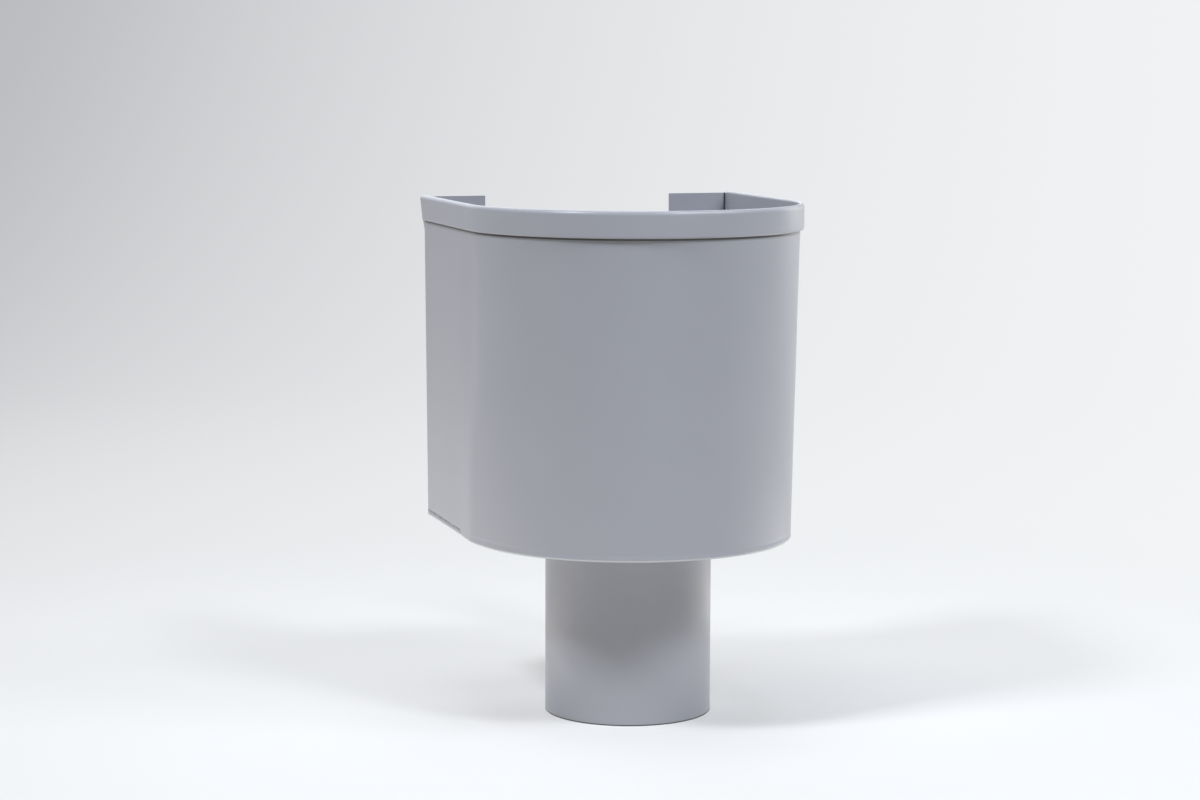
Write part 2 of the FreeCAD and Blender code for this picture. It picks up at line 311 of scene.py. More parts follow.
# %% [markdown]
# ### Rear corners and tabs
# Only the wall goes round the rear corners. It turns once more behind the hopper and ends in two narrow
# tabs, to which the flat back is spot welded. The turned-in edge is cut at 45 degrees there, so that it
# meets the one of the back in a mitre. A plane bisects it, as a pair of snips would.

# %% Rear corners and tabs
CORNER_STEPS = 6
REAR_STRETCH = 80.0     # the mitres lie behind this place


def wall_edges(edges):
    """The edges of a section that belong to the wall alone."""
    low, high = BOTTOM + TURN_RADIUS - NEAR, ROLL_BASE + NEAR
    return [
        e for e in edges
        if all(low < v.co.z < high and abs(abs(v.co.x) - BASE_HALF) < NEAR for v in e.verts)
    ]


def mitre(bm, side, verts):
    """Cuts a turned-in edge at 45 degrees, in front of the corner."""
    inside = set(verts)
    faces = [f for f in bm.faces if all(v in inside for v in f.verts)]
    edges = {e for f in faces for e in f.edges}
    bmesh.ops.bisect_plane(
        bm, geom=faces + list(edges) + verts, dist=1e-4,
        plane_co=(side * BASE_HALF, PLATE_OUTSIDE - MITRE_GAP * math.sqrt(2.0), 0),
        plane_no=(-side, 1, 0), clear_outer=True,
    )


for side in (1, -1):
    corner = (side * (BASE_HALF - CORNER_RADIUS), SIDE_END, 0)
    edge = turn_edges(shell, wall_edges(ends[side]), corner, (0, 0, 1), 90 * side, CORNER_STEPS)
    carry_far(shell, edge, 2, -side * (BODY_TAB - CORNER_RADIUS), 0, 0)
    for v in shell.verts:
        if v.co.y > SIDE_END + NEAR and v.co.x * side > 0:
            if v.co.z < BOTTOM + TURN_RADIUS + NEAR:
                v.co.z = BOTTOM
            elif v.co.z > ROLL_BASE - NEAR:
                v.co.z = BACK_TOP
    flange = [
        v for v in shell.verts
        if v.co.z < BOTTOM + NEAR and v.co.x * side > 0 and REAR_STRETCH < v.co.y < SIDE_END + NEAR
    ]
    mitre(shell, side, flange)
print("body surface with corners and tabs:", len(shell.faces), "faces")

# %% [markdown]
# ### Splay, crease and hem ends
# The real blank is rolled into a wall that leans out towards the mouth. Here the straight surface is leaned
# out afterwards, which keeps its rows level. Above the turned-in edge a crease is pressed in by hand tools:
# it is never quite straight, is deeper along the sides and fainter round the front.
# At both rear ends the last few millimetres of the hem are dressed down onto the wall.

# %% Leaning the wall out
SPLAY_HALF = MOUTH_HALF - BASE_HALF


def lean_out(v):
    """Moves a place of the wall out, by a share that grows from the base to the hem."""
    t = min(max((v.co.z - BAND_TOP) / (HEM_BOTTOM - BAND_TOP), 0.0), 1.0)
    if v.co.y < 0:
        radius = math.hypot(v.co.x, v.co.y)
        v.co.x += SPLAY_HALF * t * v.co.x / radius
        v.co.y += SPLAY_HALF * t * v.co.y / radius - MOUTH_REACH * t
    else:
        v.co.x += math.copysign(SPLAY_HALF * t, v.co.x)
        v.co.y -= MOUTH_REACH * t * (1.0 - min(v.co.y / SIDE_END, 1.0))


print("the mouth stands out by", round(SPLAY_HALF, 2), "mm at the sides")
print("and by", round(SPLAY_HALF + MOUTH_REACH, 2), "mm in front")

# %% Pressing the crease in
CREASE_DEPTH = 0.85     # along the sides
CREASE_FAINT = 0.12     # round the front
SIDE_CREASE_ENDS = 24.0         # it breaks off this far behind the axis of the round
FRONT_CREASE_STARTS = 5.0       # and starts again here
CREASE_SINKS = 0.8      # the hand-made line lies this much below the drawn one where the side ends
SIDE_RISE = 0.6         # it rises by this much along the side
FRONT_RISE = 1.1        # and by this much where it starts again
WAVER_LENGTH = 9.0      # it wavers over about this length
FORCE_LENGTH = 14.0     # and is deeper or fainter over this one
FORCE_SHARE = 0.5       # by this share of its depth


def ramp(value, start, end):
    """0 before the start, 1 after the end, smooth between."""
    t = min(max((value - start) / (end - start), 0.0), 1.0)
    return t * t * (3.0 - 2.0 * t)


def press_crease(v):
    """Moves the rows of the crease inwards, and up or down along the wall."""
    offset = (v.co.z - BOTTOM - CREASE_HEIGHT) / (CREASE_WIDTH / 2.0)
    if abs(offset) > 1.0 + NEAR or v.co.y > SIDE_END + NEAR:
        return
    if abs(math.hypot(v.co.x, min(v.co.y, 0.0)) - BASE_HALF) > 5 * NEAR:
        return
    on_side = ramp(v.co.y, SIDE_CREASE_ENDS - 2.0, SIDE_CREASE_ENDS + 3.0)
    on_front = ramp(-v.co.y, -FRONT_CREASE_STARTS - 1.0, 2.0 - FRONT_CREASE_STARTS)
    waver = noise.noise(Vector((v.co.x, v.co.y, 0)) / WAVER_LENGTH)
    force = 1.0 + FORCE_SHARE * noise.noise(Vector((v.co.x, v.co.y, 40.0)) / FORCE_LENGTH)
    depth = force * (CREASE_DEPTH * on_side + CREASE_FAINT * on_front)
    if v.co.y > SIDE_CREASE_ENDS - 8.0:
        lift = -CREASE_SINKS + SIDE_RISE * v.co.y / SIDE_END + 0.22 * waver
    else:
        risen = ramp(-v.co.y, -FRONT_CREASE_STARTS, 12.0 - FRONT_CREASE_STARTS)
        lift = -CREASE_SINKS + FRONT_RISE * risen + 0.1 * waver
    push = depth * (0.5 + 0.5 * math.cos(math.pi * min(abs(offset), 1.0)))
    if v.co.y > 0:
        v.co.x -= math.copysign(push, v.co.x)
    else:
        radius = math.hypot(v.co.x, v.co.y)
        v.co.x -= push * v.co.x / radius
        v.co.y -= push * v.co.y / radius
    v.co.z += lift


print("crease", CREASE_DEPTH, "mm deep along the sides and", CREASE_FAINT, "round the front")

# %% [markdown]
# The ends of the hem are closed by hand: the roll is rounded off, the flap below it is hammered onto the
# wall, its lower corner is drawn down to a point, and a dab of sealant closes what is left. Each of these
# grows along the last stretch, so every vertex there is moved by how far along, down and out it lies.

# %% Dressing the hem ends down
HEM_END_DROP = 6.0      # how far the lower corner is drawn down
HEM_END_ROUND = 1.4     # how far the roll falls at its end
HEM_END_PRESS = 2.25    # how far the flap is pressed onto the wall
ROUNDED = (0.4, 1.2)    # each of these grows between two shares of the last stretch
PRESSED = (-0.15, 0.6)
DROPPED = (0.25, 1.05)
PRESS_FULL = 0.97       # it is pressed in full from this share of the hem's height down
PRESS_CURVE = 1.6
CURL_DROP = 0.6
END_CLEAR = 0.05        # the hem stops this much before the outer face of the back
HEM_END_Y = WALL_FACE - SHEET - END_CLEAR


def dress_hem_end(v):
    """Runs the hem on to the wall plane, and pulls its last stretch down and onto the wall."""
    along = (v.co.y - DRESS_START) / (SIDE_END - DRESS_START)
    proud = abs(v.co.x) - MOUTH_HALF
    if along <= 0 or along > 1.0 + NEAR or proud < -5 * NEAR or v.co.z < HEM_BOTTOM:
        return
    if v.co.z > ROLL_BASE:
        v.co.z -= HEM_END_ROUND * ramp(along, *ROUNDED) * (v.co.z - ROLL_BASE) / ROLL_RADIUS
    if proud < 5 * NEAR:
        return
    reach = min(proud / CROWN_IN, 1.0)
    v.co.y += along * reach * (HEM_END_Y - SIDE_END)
    if v.co.z > ROLL_BASE:
        return
    curl = max(HEM_PROUD - SHEET - proud, 0.0)
    down = (ROLL_BASE - v.co.z) / (ROLL_BASE - HEM_BOTTOM)
    pressed = HEM_END_PRESS * ramp(along, *PRESSED) * min(1.0, (down / PRESS_FULL) ** PRESS_CURVE)
    v.co.x += math.copysign(1.0, v.co.x) * (curl * along - pressed)
    v.co.z -= HEM_END_DROP * ramp(along, *DROPPED) * down ** 2.0 + CURL_DROP * curl * along


print("hem ends dressed down by", HEM_END_DROP, "mm over", HEM_END_LENGTH, "mm")

# %% Closing the hem ends
OPEN_RIM = 0.9          # the open rim lies within this length of the hem's end
TUCK = 0.2              # the closing face runs this far into the wall


def close_hem_end(bm, side):
    """Turns the end of the hem in against the wall, as a dab of sealant closes it on the real one."""
    rim = [
        e for e in bm.edges
        if e.is_boundary and all(
            v.co.y > HEM_END_Y - OPEN_RIM and v.co.x * side > MOUTH_HALF + 2 * NEAR
            and v.co.z > HEM_BOTTOM - HEM_END_DROP - 2
            for v in e.verts)
    ]
    made = bmesh.ops.extrude_edge_only(bm, edges=rim)["geom"]
    tips = only(made, bmesh.types.BMVert)
    for v in tips:
        v.co.x = side * (MOUTH_HALF - TUCK)
        v.co.y = HEM_END_Y
        v.co.z = min(v.co.z, ROLL_BASE)
    bmesh.ops.remove_doubles(bm, verts=tips, dist=2 * NEAR)
    print("closed a hem end over", len(rim), "edges")


print("a closing face is tucked in by", TUCK, "mm")

# %% [markdown]
# ### Where the rolling starts
# Rolls can't grip the first stretch of a curve, so a hand-rolled sheet never passes evenly from flat to
# round. Near the bottom it stays flat for too long and then bends sharply, which leaves a low ridge. Higher
# up it bends too early and is too flat just after, which leaves a shallow dent. Both catch the light as a
# faint upright stripe, so the wall is moved out or in there by up to a millimetre, along a bell curve.

# %% Start of the rolled part
ROUND_START = 2.0       # the stripe lies this far round from the end of the flat side
DENT_DEPTH = 0.9
DENT_WIDTHS = (16.0, 8.0)       # on the flat side and on the round
DENT_SHARE_AT_HEM = 0.25        # the hem stiffens the wall, so the dent is shallow there
DENT_DEEPENS = (-5.0, 25.0)     # between two depths below the hem
DENT_STARTS = (120.0, 60.0)     # and so on, from the lower one up
RIDGE_HEIGHT = 1.0
RIDGE_WIDTHS = (22.0, 10.0)
RIDGE_GROWS = (90.0, 150.0)     # from the upper one down
SIDES_FROM = 0.6 * BASE_HALF    # nothing happens nearer the middle of the front than this


def start_of_round(v):
    """Moves the wall out or in, along the line where the flat side meets the round."""
    if abs(v.co.x) < SIDES_FROM:
        return
    along = -v.co.y if v.co.y > 0 else BASE_HALF * math.atan2(-v.co.y, abs(v.co.x))
    off = along - ROUND_START
    on_round = 0 if off < 0 else 1
    below = HEM_BOTTOM - v.co.z
    free = DENT_SHARE_AT_HEM + (1.0 - DENT_SHARE_AT_HEM) * ramp(below, *DENT_DEEPENS)
    dent = DENT_DEPTH * free * ramp(below, *DENT_STARTS)
    ridge = RIDGE_HEIGHT * ramp(below, *RIDGE_GROWS)
    dent *= math.exp(-(off / DENT_WIDTHS[on_round]) ** 2)
    ridge *= math.exp(-(off / RIDGE_WIDTHS[on_round]) ** 2)
    way = Vector((v.co.x, min(v.co.y, 0.0), 0)).normalized()
    v.co += way * (ridge - dent)


print("where the round starts: a dent of", DENT_DEPTH, "mm above, a ridge of", RIDGE_HEIGHT, "mm below")

# %% [markdown]
# Last of all the wall gets the slight unevenness of sheet that was handled: a noise pattern a few
# centimetres wide sinks it by a tenth of a millimetre or so. It fades out towards the folds, which hold the
# sheet straight.

# %% Hand-made unevenness
UNEVEN = 0.07
UNEVEN_LENGTH = 38.0    # it varies over about this length
FADE_LENGTH = 20.0
NOISE_SHIFT = Vector((3.1, 0.4, 7.7))   # picks a stretch of the noise pattern


def uneven(v):
    """Sinks a place of the wall in by none to twice the unevenness."""
    t = min(max((v.co.z - BAND_TOP) / FADE_LENGTH, 0.0), 1.0)
    t *= min(max((HEM_BOTTOM - v.co.z) / FADE_LENGTH, 0.0), 1.0)
    swell = UNEVEN * t * noise.noise(v.co / UNEVEN_LENGTH + NOISE_SHIFT)
    if v.co.y > SIDE_END - BODY_TAB:
        return
    outward = Vector((v.co.x, min(v.co.y, 0.0), 0)).normalized()
    v.co += outward * (swell - UNEVEN * t)


for v in shell.verts:
    press_crease(v)
    start_of_round(v)
    lean_out(v)
    dress_hem_end(v)
    uneven(v)
for side in (1, -1):
    close_hem_end(shell, side)
print("the wall is uneven by up to", 2 * UNEVEN, "mm")

# %% [markdown]
# The faces of a spun and extruded surface can point either way, and the sheet's thickness goes behind them.
# So they are made to agree first, and then turned to look at a place that is surely outside.

# %% Facing outwards
def face_out(bm, probe):
    """Makes the faces agree, and turns them so that the one nearest the probe looks at it."""
    bmesh.ops.recalc_face_normals(bm, faces=bm.faces)
    nearest = min(bm.faces, key=lambda f: (f.calc_center_median() - probe).length)
    if nearest.normal.dot(probe - nearest.calc_center_median()) < 0:
        bmesh.ops.reverse_faces(bm, faces=bm.faces)


face_out(shell, Vector((0, -BASE_HALF * 1.5, (BOTTOM + CREST) / 2)))
shell_sheet = sheet_piece(shell, "shell_sheet")
for v in shell_sheet.data.vertices:
    v.co.y = max(min(v.co.y, WALL_FACE * MM), shell_low.y * MM)
    v.co.x = max(min(v.co.x, shell_high.x * MM), shell_low.x * MM)
for name, pick in (("lowest", min), ("highest", max)):
    corner = [pick(v.co[i] for v in shell_sheet.data.vertices) / MM for i in range(3)]
    print(name, "corner of the shell:", [round(c, 2) for c in corner])

# %% [markdown]
# ## The back
# A flat sheet stands inside the tabs, with a wide notch from the top, through which the water of a gutter
# comes in, and two holes for the wall fixings. Half of its outline is drawn with the same pen, mirrored and
# filled at once; the holes are closed rings inside it, and the fill leaves them open.

# %% Outline of the back
BACK_SLIT = 1.3         # open slit between the back and the wall
NOTCH_WIDTH = 121.0
NOTCH_DEPTH = 100.0     # below the crest
NOTCH_CORNER = 6.0
HOLE_RADIUS = 3.5
HOLE_SPACING = 156.0
HOLE_DROP = 45.0        # below the crest


def back_edge(z):
    """Half width of the back at a height."""
    t = min(max((z - BAND_TOP) / (HEM_BOTTOM - BAND_TOP), 0.0), 1.0)
    return BASE_HALF + SPLAY_HALF * t - SHEET - BACK_SLIT


def ring(bm, centre, radius, axis, count):
    """Adds a closed ring of edges."""
    turn = Vector((0, 0, 1)).rotation_difference(Vector(axis)).to_matrix().to_4x4()
    bmesh.ops.create_circle(
        bm, cap_ends=False, segments=count, radius=radius,
        matrix=Matrix.Translation(centre) @ turn,
    )


back = bmesh.new()
fold_z = BOTTOM + TURN_RADIUS
notch_floor = CREST - NOTCH_DEPTH
axis = (0, 1, 0)
tip = back.verts.new((0, PLATE_OUTSIDE, notch_floor))
tip = stroke(back, tip, NOTCH_WIDTH / 2 - NOTCH_CORNER, 0, 0)
tip = bend(back, tip, (tip.co.x, PLATE_OUTSIDE, notch_floor + NOTCH_CORNER), axis, -90, 8)
tip = stroke(back, tip, 0, 0, BACK_TOP - tip.co.z)
tip = stroke(back, tip, back_edge(BACK_TOP) - tip.co.x, 0, 0)
tip = stroke(back, tip, 0, 0, HEM_BOTTOM - BACK_TOP)
tip = stroke(back, tip, back_edge(BAND_TOP) - tip.co.x, 0, BAND_TOP - HEM_BOTTOM)
tip = stroke(back, tip, 0, 0, fold_z - BAND_TOP)
stroke(back, tip, -tip.co.x, 0, 0)
half = list(back.verts) + list(back.edges)
bmesh.ops.mirror(back, geom=half, merge_dist=NEAR, axis="X")
bmesh.ops.remove_doubles(back, verts=back.verts, dist=NEAR)
for side in (1, -1):
    ring(back, (side * HOLE_SPACING / 2, PLATE_OUTSIDE, CREST - HOLE_DROP), HOLE_RADIUS, axis, 40)
bmesh.ops.triangle_fill(back, edges=back.edges, use_beauty=True, use_dissolve=False, normal=(0, 1, 0))
print("back outline filled:", len(back.faces), "faces")

# %% [markdown]
# The bottom edge of the back is folded in under the base like that of the wall, and the same snips cut its
# ends at 45 degrees, a little short of the mitre line, so that the two edges never touch.

# %% Turned-in edge of the back
foot = [e for e in back.edges if all(abs(v.co.z - fold_z) < NEAR for v in e.verts)]
foot = turn_edges(back, foot, (0, PLATE_OUTSIDE - TURN_RADIUS, fold_z), (1, 0, 0), -90, FOLD_STEPS)
carry(back, foot, 0, TURN_RADIUS - TURN_IN, 0)
for side in (1, -1):
    low = [v for v in back.verts if v.co.z < BOTTOM + NEAR]
    faces = [f for f in back.faces if all(v.co.z < BOTTOM + NEAR for v in f.verts)]
    edges = {e for f in faces for e in f.edges}
    bmesh.ops.bisect_plane(
        back, geom=low + list(edges) + faces, dist=1e-4,
        plane_co=(side * BASE_HALF, PLATE_OUTSIDE + MITRE_GAP * math.sqrt(2.0), 0),
        plane_no=(side, -1, 0), clear_outer=True,
    )
face_out(back, Vector((0, PLATE_OUTSIDE + 50, notch_floor - 40)))
back_sheet = sheet_piece(back, "back_sheet")

# %% [markdown]
# ## The base
# The bottom is a shallow tray with its edge rolled down, sitting between the crease and the turned-in edge.
# It is drawn as an outline that is filled flat, with the round hole left open.

# %% Base tray
BASE_CORNER = 2.5       # radius of the tray's rear corners
BASE_HOLE = TUBE_RADIUS + FOLD_RADIUS + SEAT
tray_half = base_high.x - CORNER_RADIUS
tray_rear = base_high.y - CORNER_RADIUS
tray_corner = max(BASE_CORNER - SEAT - CORNER_RADIUS, 0.3)

base = bmesh.new()
tip = base.verts.new((0, -tray_half, base_high.z))
tip = bend(base, tip, (0, 0, base_high.z), (0, 0, 1), 90, FRONT_STEPS // 2)
tip = strokes(base, tip, 4, 0, tray_rear - tray_corner, 0)
tip = bend(base, tip, (tip.co.x - tray_corner, tip.co.y, base_high.z), (0, 0, 1), 90, 4)
stroke(base, tip, -tip.co.x, 0, 0)
bmesh.ops.mirror(base, geom=list(base.verts) + list(base.edges), merge_dist=NEAR, axis="X")
bmesh.ops.remove_doubles(base, verts=base.verts, dist=NEAR)
rim = list(base.edges)
ring(base, (0, 0, base_high.z), BASE_HOLE, (0, 0, 1), 96)
bmesh.ops.triangle_fill(base, edges=base.edges, use_beauty=True, use_dissolve=False, normal=(0, 0, 1))
print("floor of the tray:", len(base.faces), "faces")

# %% [markdown]
# The edge of a round tray is turned down over a wheel, a little at a time. So the rim is extruded in small
# steps, each of them further down and less far out, away from the axis of the round, the flat side or the
# centre of a rear corner. The tray follows the wall where the rolling starts, because it was fitted to it.

# %% Rolling the edge of the tray down
rear_start = tray_rear - tray_corner
for step in range(1, FOLD_STEPS + 1):
    made = bmesh.ops.extrude_edge_only(base, edges=rim)["geom"]
    old = {v for e in rim for v in e.verts}
    rim = [e for e in only(made, bmesh.types.BMEdge) if not any(v in old for v in e.verts)]
    angle = math.radians(90.0 * step / FOLD_STEPS)
    before = math.radians(90.0 * (step - 1) / FOLD_STEPS)
    out = CORNER_RADIUS * (math.sin(angle) - math.sin(before))
    down = CORNER_RADIUS * (math.cos(angle) - math.cos(before))
    for v in only(made, bmesh.types.BMVert):
        way = Vector((v.co.x, v.co.y if v.co.y < 0 else 0.0, 0))
        if v.co.y > rear_start + NEAR or v.co.y >= tray_rear - NEAR:
            centre_x = math.copysign(min(abs(v.co.x), tray_half - tray_corner), v.co.x)
            way = v.co - Vector((centre_x, rear_start, v.co.z))
            way.z = 0
        v.co += way.normalized() * out + Vector((0, 0, down))
carry(base, rim, 0, 0, base_low.z - (base_high.z - CORNER_RADIUS))
for v in base.verts:
    start_of_round(v)
face_out(base, Vector((0, -75, base_high.z + 60)))
base_sheet = sheet_piece(base, "base_sheet")

# %% [markdown]
# ## The spigot
# A sheet rolled into a tube, locked by a flat seam at the back and turned out over the base at the top.
# Its section is spun by a little less than a full turn, which leaves the fine line of the seam open.

# %% Spigot section spun round
SPIGOT_RIM = 8.0        # width of the rim on the base
SEAM_WIDTH = 7.0
SEAM_LINE = 0.35        # width of the line that the seam leaves outside
TUBE_ROWS, TUBE_STEPS = 24, 144
tube = bmesh.new()
line_turn = math.degrees(SEAM_LINE / TUBE_RADIUS)
line_at = math.degrees(SEAM_WIDTH / 2 / TUBE_RADIUS)
turn_z = base_high.z - FOLD_RADIUS
tip = tube.verts.new((0, TUBE_RADIUS, SPIGOT_FOOT))
tip = strokes(tube, tip, TUBE_ROWS, 0, 0, turn_z - SPIGOT_FOOT)
tip = bend(tube, tip, (0, TUBE_RADIUS + FOLD_RADIUS, turn_z), (1, 0, 0), -90, 6)
tip = strokes(tube, tip, 3, 0, TUBE_RADIUS + SPIGOT_RIM - tip.co.y, 0)
line = list(tube.edges)
bmesh.ops.rotate(
    tube, cent=(0, 0, 0), matrix=Matrix.Rotation(math.radians(-line_at), 3, "Z"), verts=tube.verts)
turn_edges(tube, line, (0, 0, 0), (0, 0, 1), line_turn - 360.0, TUBE_STEPS)
face_out(tube, Vector((0, -200, 60)))
print("tube surface:", len(tube.faces), "faces")

# %% [markdown]
# The seam is locked by a fold of both edges, which is hammered flat and lies inside the tube, so that the
# outside stays round for the downpipe. It is drawn across once, one layer out and one back, and carried up.
# Its thickness goes inwards, so its faces are turned to look at the tube.

# %% Fold of the seam
FOLD_CLEAR = 0.04       # a hair of room between the tube and the fold
FOLD_TURN = 0.71        # radius of the turn between the two layers
fold_out = TUBE_RADIUS - SHEET - FOLD_CLEAR
turn_at = math.degrees((SEAM_WIDTH / 2 - FOLD_TURN) / fold_out)
tip = tube.verts.new((0, fold_out, SPIGOT_FOOT))
bmesh.ops.rotate(tube, cent=(0, 0, 0), matrix=Matrix.Rotation(math.radians(-turn_at), 3, "Z"), verts=[tip])
tip = bend(tube, tip, (0, 0, tip.co.z), (0, 0, 1), 2 * turn_at, 8)
middle = tip.co * ((fold_out - FOLD_TURN) / fold_out)
tip = bend(tube, tip, (middle.x, middle.y, tip.co.z), (0, 0, 1), 180, 8)
tip = bend(tube, tip, (0, 0, tip.co.z), (0, 0, 1), -2 * turn_at, 8)


def in_fold(parts):
    """Of the tube's edges or faces, those of the fold."""
    return [p for p in parts if all(math.hypot(v.co.x, v.co.y) < fold_out + NEAR for v in p.verts)]


seam_line = in_fold(tube.edges)
carry(tube, seam_line, 0, 0, turn_z - SPIGOT_FOOT)
bmesh.ops.reverse_faces(tube, faces=in_fold(tube.faces))
print("fold of the seam:", len(seam_line), "edges across")
spigot_tube = sheet_piece(tube, "spigot_tube")

# %% [markdown]
# ## Taking the place of the construction
# Each drawn piece rides on the one body of the object and takes the place of the node it was drawn after.

# %% Riding and replacing
for piece, node in ((shell_sheet, "body_shell"), (back_sheet, "back_plate"),
                    (base_sheet, "base_plate"), (spigot_tube, "outlet_spigot")):
    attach(piece, "root")
    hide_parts(node)
    print(piece.name, "stands for", node)

# %% [markdown]
# ## The finish
# The whole hopper head has one coat of light bluish grey polyester powder on galvanised steel.
# Powder melts in the oven and flows out, but never quite flat: it leaves a fine orange peel that blurs
# what the coat reflects. So the surface is satin, with no metal showing through.

# %% Colours and nodes
def linear(code):
    """An sRGB hex colour as the linear values that Blender wants."""
    parts = [int(code[i:i + 2], 16) / 255 for i in (1, 3, 5)]
    return tuple(p / 12.92 if p <= 0.04045 else ((p + 0.055) / 1.055) ** 2.4 for p in parts) + (1.0,)


def add_node(tree, kind, links=None, values=None, **settings):
    """Adds a node, gives its settings and the values of its inputs, and links its other inputs."""
    node = tree.nodes.new(kind)
    for name, value in settings.items():
        if hasattr(node, name):
            setattr(node, name, value)
        else:
            node.inputs[name.replace("_", " ")].default_value = value
    for name, value in (values or {}).items():
        node.inputs[name].default_value = value
    for name, source in (links or {}).items():
        tree.links.new(source, node.inputs[name])
    return node


def new_material(name):
    """An empty material and its node tree."""
    material = bpy.data.materials.new(name)
    material.use_nodes = True
    material.node_tree.nodes.clear()
    return material, material.node_tree


print("mid grey #808080 is", round(linear("#808080")[0], 3), "in linear light")

# %% Powder coat
PEEL = 2.0 * MM         # width of one dimple of the orange peel
CLOUD = 45.0 * MM       # the coat's thickness, and so its tone, drifts over this width
powder_coat, tree = new_material("powder_coated_steel")
place = add_node(tree, "ShaderNodeTexCoord").outputs["Object"]
peel = add_node(
    tree, "ShaderNodeTexNoise", {"Vector": place}, Scale=1.0 / PEEL, Detail=2.0, Roughness=0.45)
cloud = add_node(
    tree, "ShaderNodeTexNoise", {"Vector": place}, Scale=1.0 / CLOUD, Detail=3.0, Roughness=0.5)
tone = add_node(
    tree, "ShaderNodeMix", {"Factor": cloud.outputs["Fac"]},
    {"A": linear("#a9aab2"), "B": linear("#adaeb6")}, data_type="RGBA")
satin = add_node(tree, "ShaderNodeMapRange", {"Value": cloud.outputs["Fac"]}, To_Min=0.29, To_Max=0.35)
skin = add_node(tree, "ShaderNodeBump", {"Height": peel.outputs["Fac"]}, Strength=0.35, Distance=0.02 * MM)
print("orange peel every", PEEL / MM, "mm, clouds every", CLOUD / MM, "mm")

# %% [markdown]
# ### Painted shade and a painted highlight
# Under the hem, in the slit beside the back and in the crease the coat is painted darker as shade, and
# a dark line of painted shadow is put where the spigot stands on its cut edge. Round the folded bottom edge
# the coat is painted lighter, as a highlight.
# Each place is found from the height, the distance to the axis of the half round and the like. Every one of
# these lengths becomes a soft mask, and the masks of a place are multiplied.

# %% Lengths that find a place on the coat
spot = add_node(tree, "ShaderNodeSeparateXYZ", {"Vector": place})
across, depth, height = (spot.outputs[way] for way in "XYZ")
behind_axis = add_node(tree, "ShaderNodeMath", {0: depth}, {1: MOUTH_REACH * MM}, operation="ADD")
round_depth = add_node(
    tree, "ShaderNodeMath", {0: behind_axis.outputs["Value"]}, {1: 0.0}, operation="MINIMUM")
from_axis = add_node(tree, "ShaderNodeCombineXYZ", {"X": across, "Y": round_depth.outputs["Value"]})
reach = add_node(
    tree, "ShaderNodeVectorMath", {0: from_axis.outputs["Vector"]}, operation="LENGTH").outputs["Value"]
off_middle = add_node(tree, "ShaderNodeMath", {0: across}, operation="ABSOLUTE").outputs["Value"]
leaning = add_node(
    tree, "ShaderNodeMapRange", {"Value": height}, From_Min=BAND_TOP * MM, From_Max=HEM_BOTTOM * MM,
    To_Min=SPLAY_HALF * MM, To_Max=0.0)
off_splayed = add_node(
    tree, "ShaderNodeMath", {0: off_middle, 1: leaning.outputs["Result"]}, operation="ADD").outputs["Value"]


def soft_masks(sockets):
    """Multiplies masks that rise from 0 at the first length to 1 at the second, in millimetres."""
    whole = None
    for socket, nothing, full in sockets:
        mask = add_node(
            tree, "ShaderNodeMapRange", {"Value": socket}, interpolation_type="SMOOTHSTEP",
            From_Min=nothing * MM, From_Max=full * MM, To_Min=0.0, To_Max=1.0).outputs["Result"]
        if whole is not None:
            mask = add_node(
                tree, "ShaderNodeMath", {0: whole, 1: mask}, operation="MULTIPLY").outputs["Value"]
        whole = mask
    return whole


print("with its lengths the coat has", len(tree.nodes), "nodes")

# %% Painted shade and a painted highlight on the coat
PATCH = 7.0 * MM        # the painted shade in the crease comes and goes in patches of about this width
# painted shade: the wall just under the hem is painted darker, as the shadow that the hem throws
shade_under_hem = soft_masks((
    (reach, MOUTH_HALF + 0.8, MOUTH_HALF + 0.4),
    (reach, MOUTH_HALF - 0.6, MOUTH_HALF - 0.3),
    (height, HEM_BOTTOM - 1.5, HEM_BOTTOM - 0.9),
    (height, HEM_BOTTOM + 8.0, HEM_BOTTOM + 6.0),
    (across, MOUTH_HALF + 4.0, MOUTH_HALF - 45.0),
    (depth, WALL_FACE - 2.6, WALL_FACE - 3.8),
))
# painted shade: the slit between the back and the wall is painted darker
shade_in_slit = soft_masks((
    (off_splayed, MOUTH_HALF - 4.2, MOUTH_HALF - 3.0),
    (off_splayed, MOUTH_HALF - 0.5, MOUTH_HALF - 0.7),
    (depth, PLATE_OUTSIDE - 0.5, PLATE_OUTSIDE - 0.1),
    (depth, PLATE_OUTSIDE + 0.2, PLATE_OUTSIDE + 0.05),
))
# painted shade: the crease along the sides is painted darker, in patches
shade_in_crease = soft_masks((
    (off_middle, BASE_HALF - 0.1, BASE_HALF - 0.6),
    (off_middle, BASE_HALF - 1.5, BASE_HALF - 1.2),
    (height, BOTTOM + 1.4, BOTTOM + 2.2),
    (height, BOTTOM + 4.9, BOTTOM + 3.7),
    (depth, SIDE_CREASE_ENDS - 2.0, SIDE_CREASE_ENDS + 3.0),
    (depth, SIDE_END + 0.5, SIDE_END - 1.0),
))
patches = add_node(tree, "ShaderNodeTexNoise", {"Vector": place}, Scale=1.0 / PATCH, Detail=2.0)
patchy = add_node(
    tree, "ShaderNodeMapRange", {"Value": patches.outputs["Fac"]},
    From_Min=0.35, From_Max=0.65, To_Min=0.2, To_Max=0.65)
patchy_crease_shade = add_node(
    tree, "ShaderNodeMath", {0: shade_in_crease, 1: patchy.outputs["Result"]}, operation="MULTIPLY")
# painted shadow: a dark line round the foot of the spigot, where it stands on the floor
shadow_at_foot = soft_masks(((height, 1.0, 0.45),))
